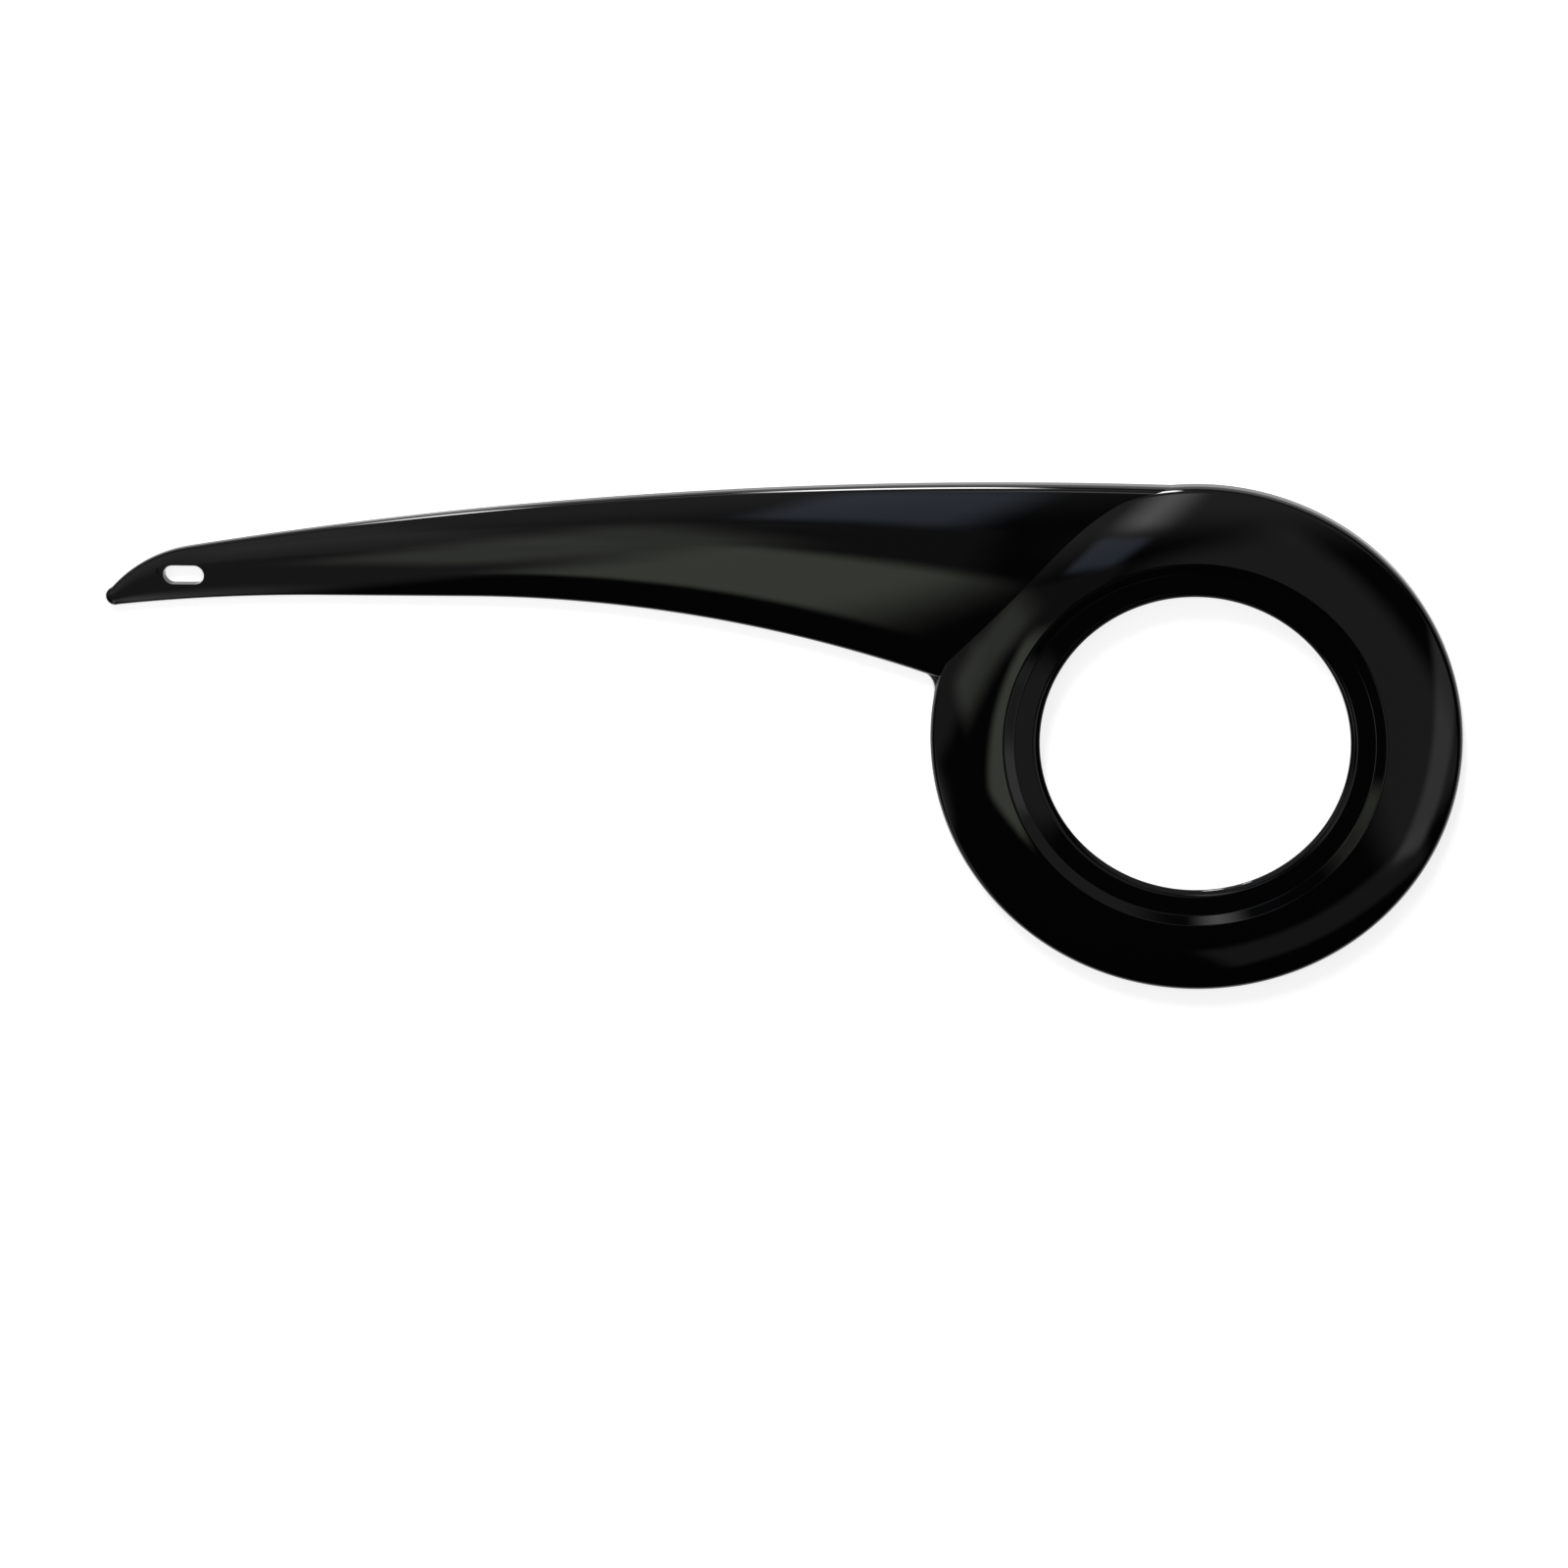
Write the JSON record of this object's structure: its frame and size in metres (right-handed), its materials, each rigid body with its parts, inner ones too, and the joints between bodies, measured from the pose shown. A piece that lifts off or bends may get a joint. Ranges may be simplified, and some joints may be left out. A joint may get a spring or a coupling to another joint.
{
  "type": "bicycle chain guard",
  "caption": "Moulded bicycle chain guard: a dished ring around the chainring with a long crowned arm that tapers to a slotted tail, hollow behind.",
  "frame": {"origin": "where the ring's axis meets the plane of the back rim", "axes": "+X from the arm towards the ring, +Y towards the arm's upper edge, +Z out of the visible face"},
  "size_m": [0.5535, 0.215, 0.0108],
  "materials": {
    "gloss_black_abs": "high gloss, as moulded"
  },
  "bodies": {
    "root": {"chain_guard": "gloss_black_abs"}
  },
  "joints": []
}
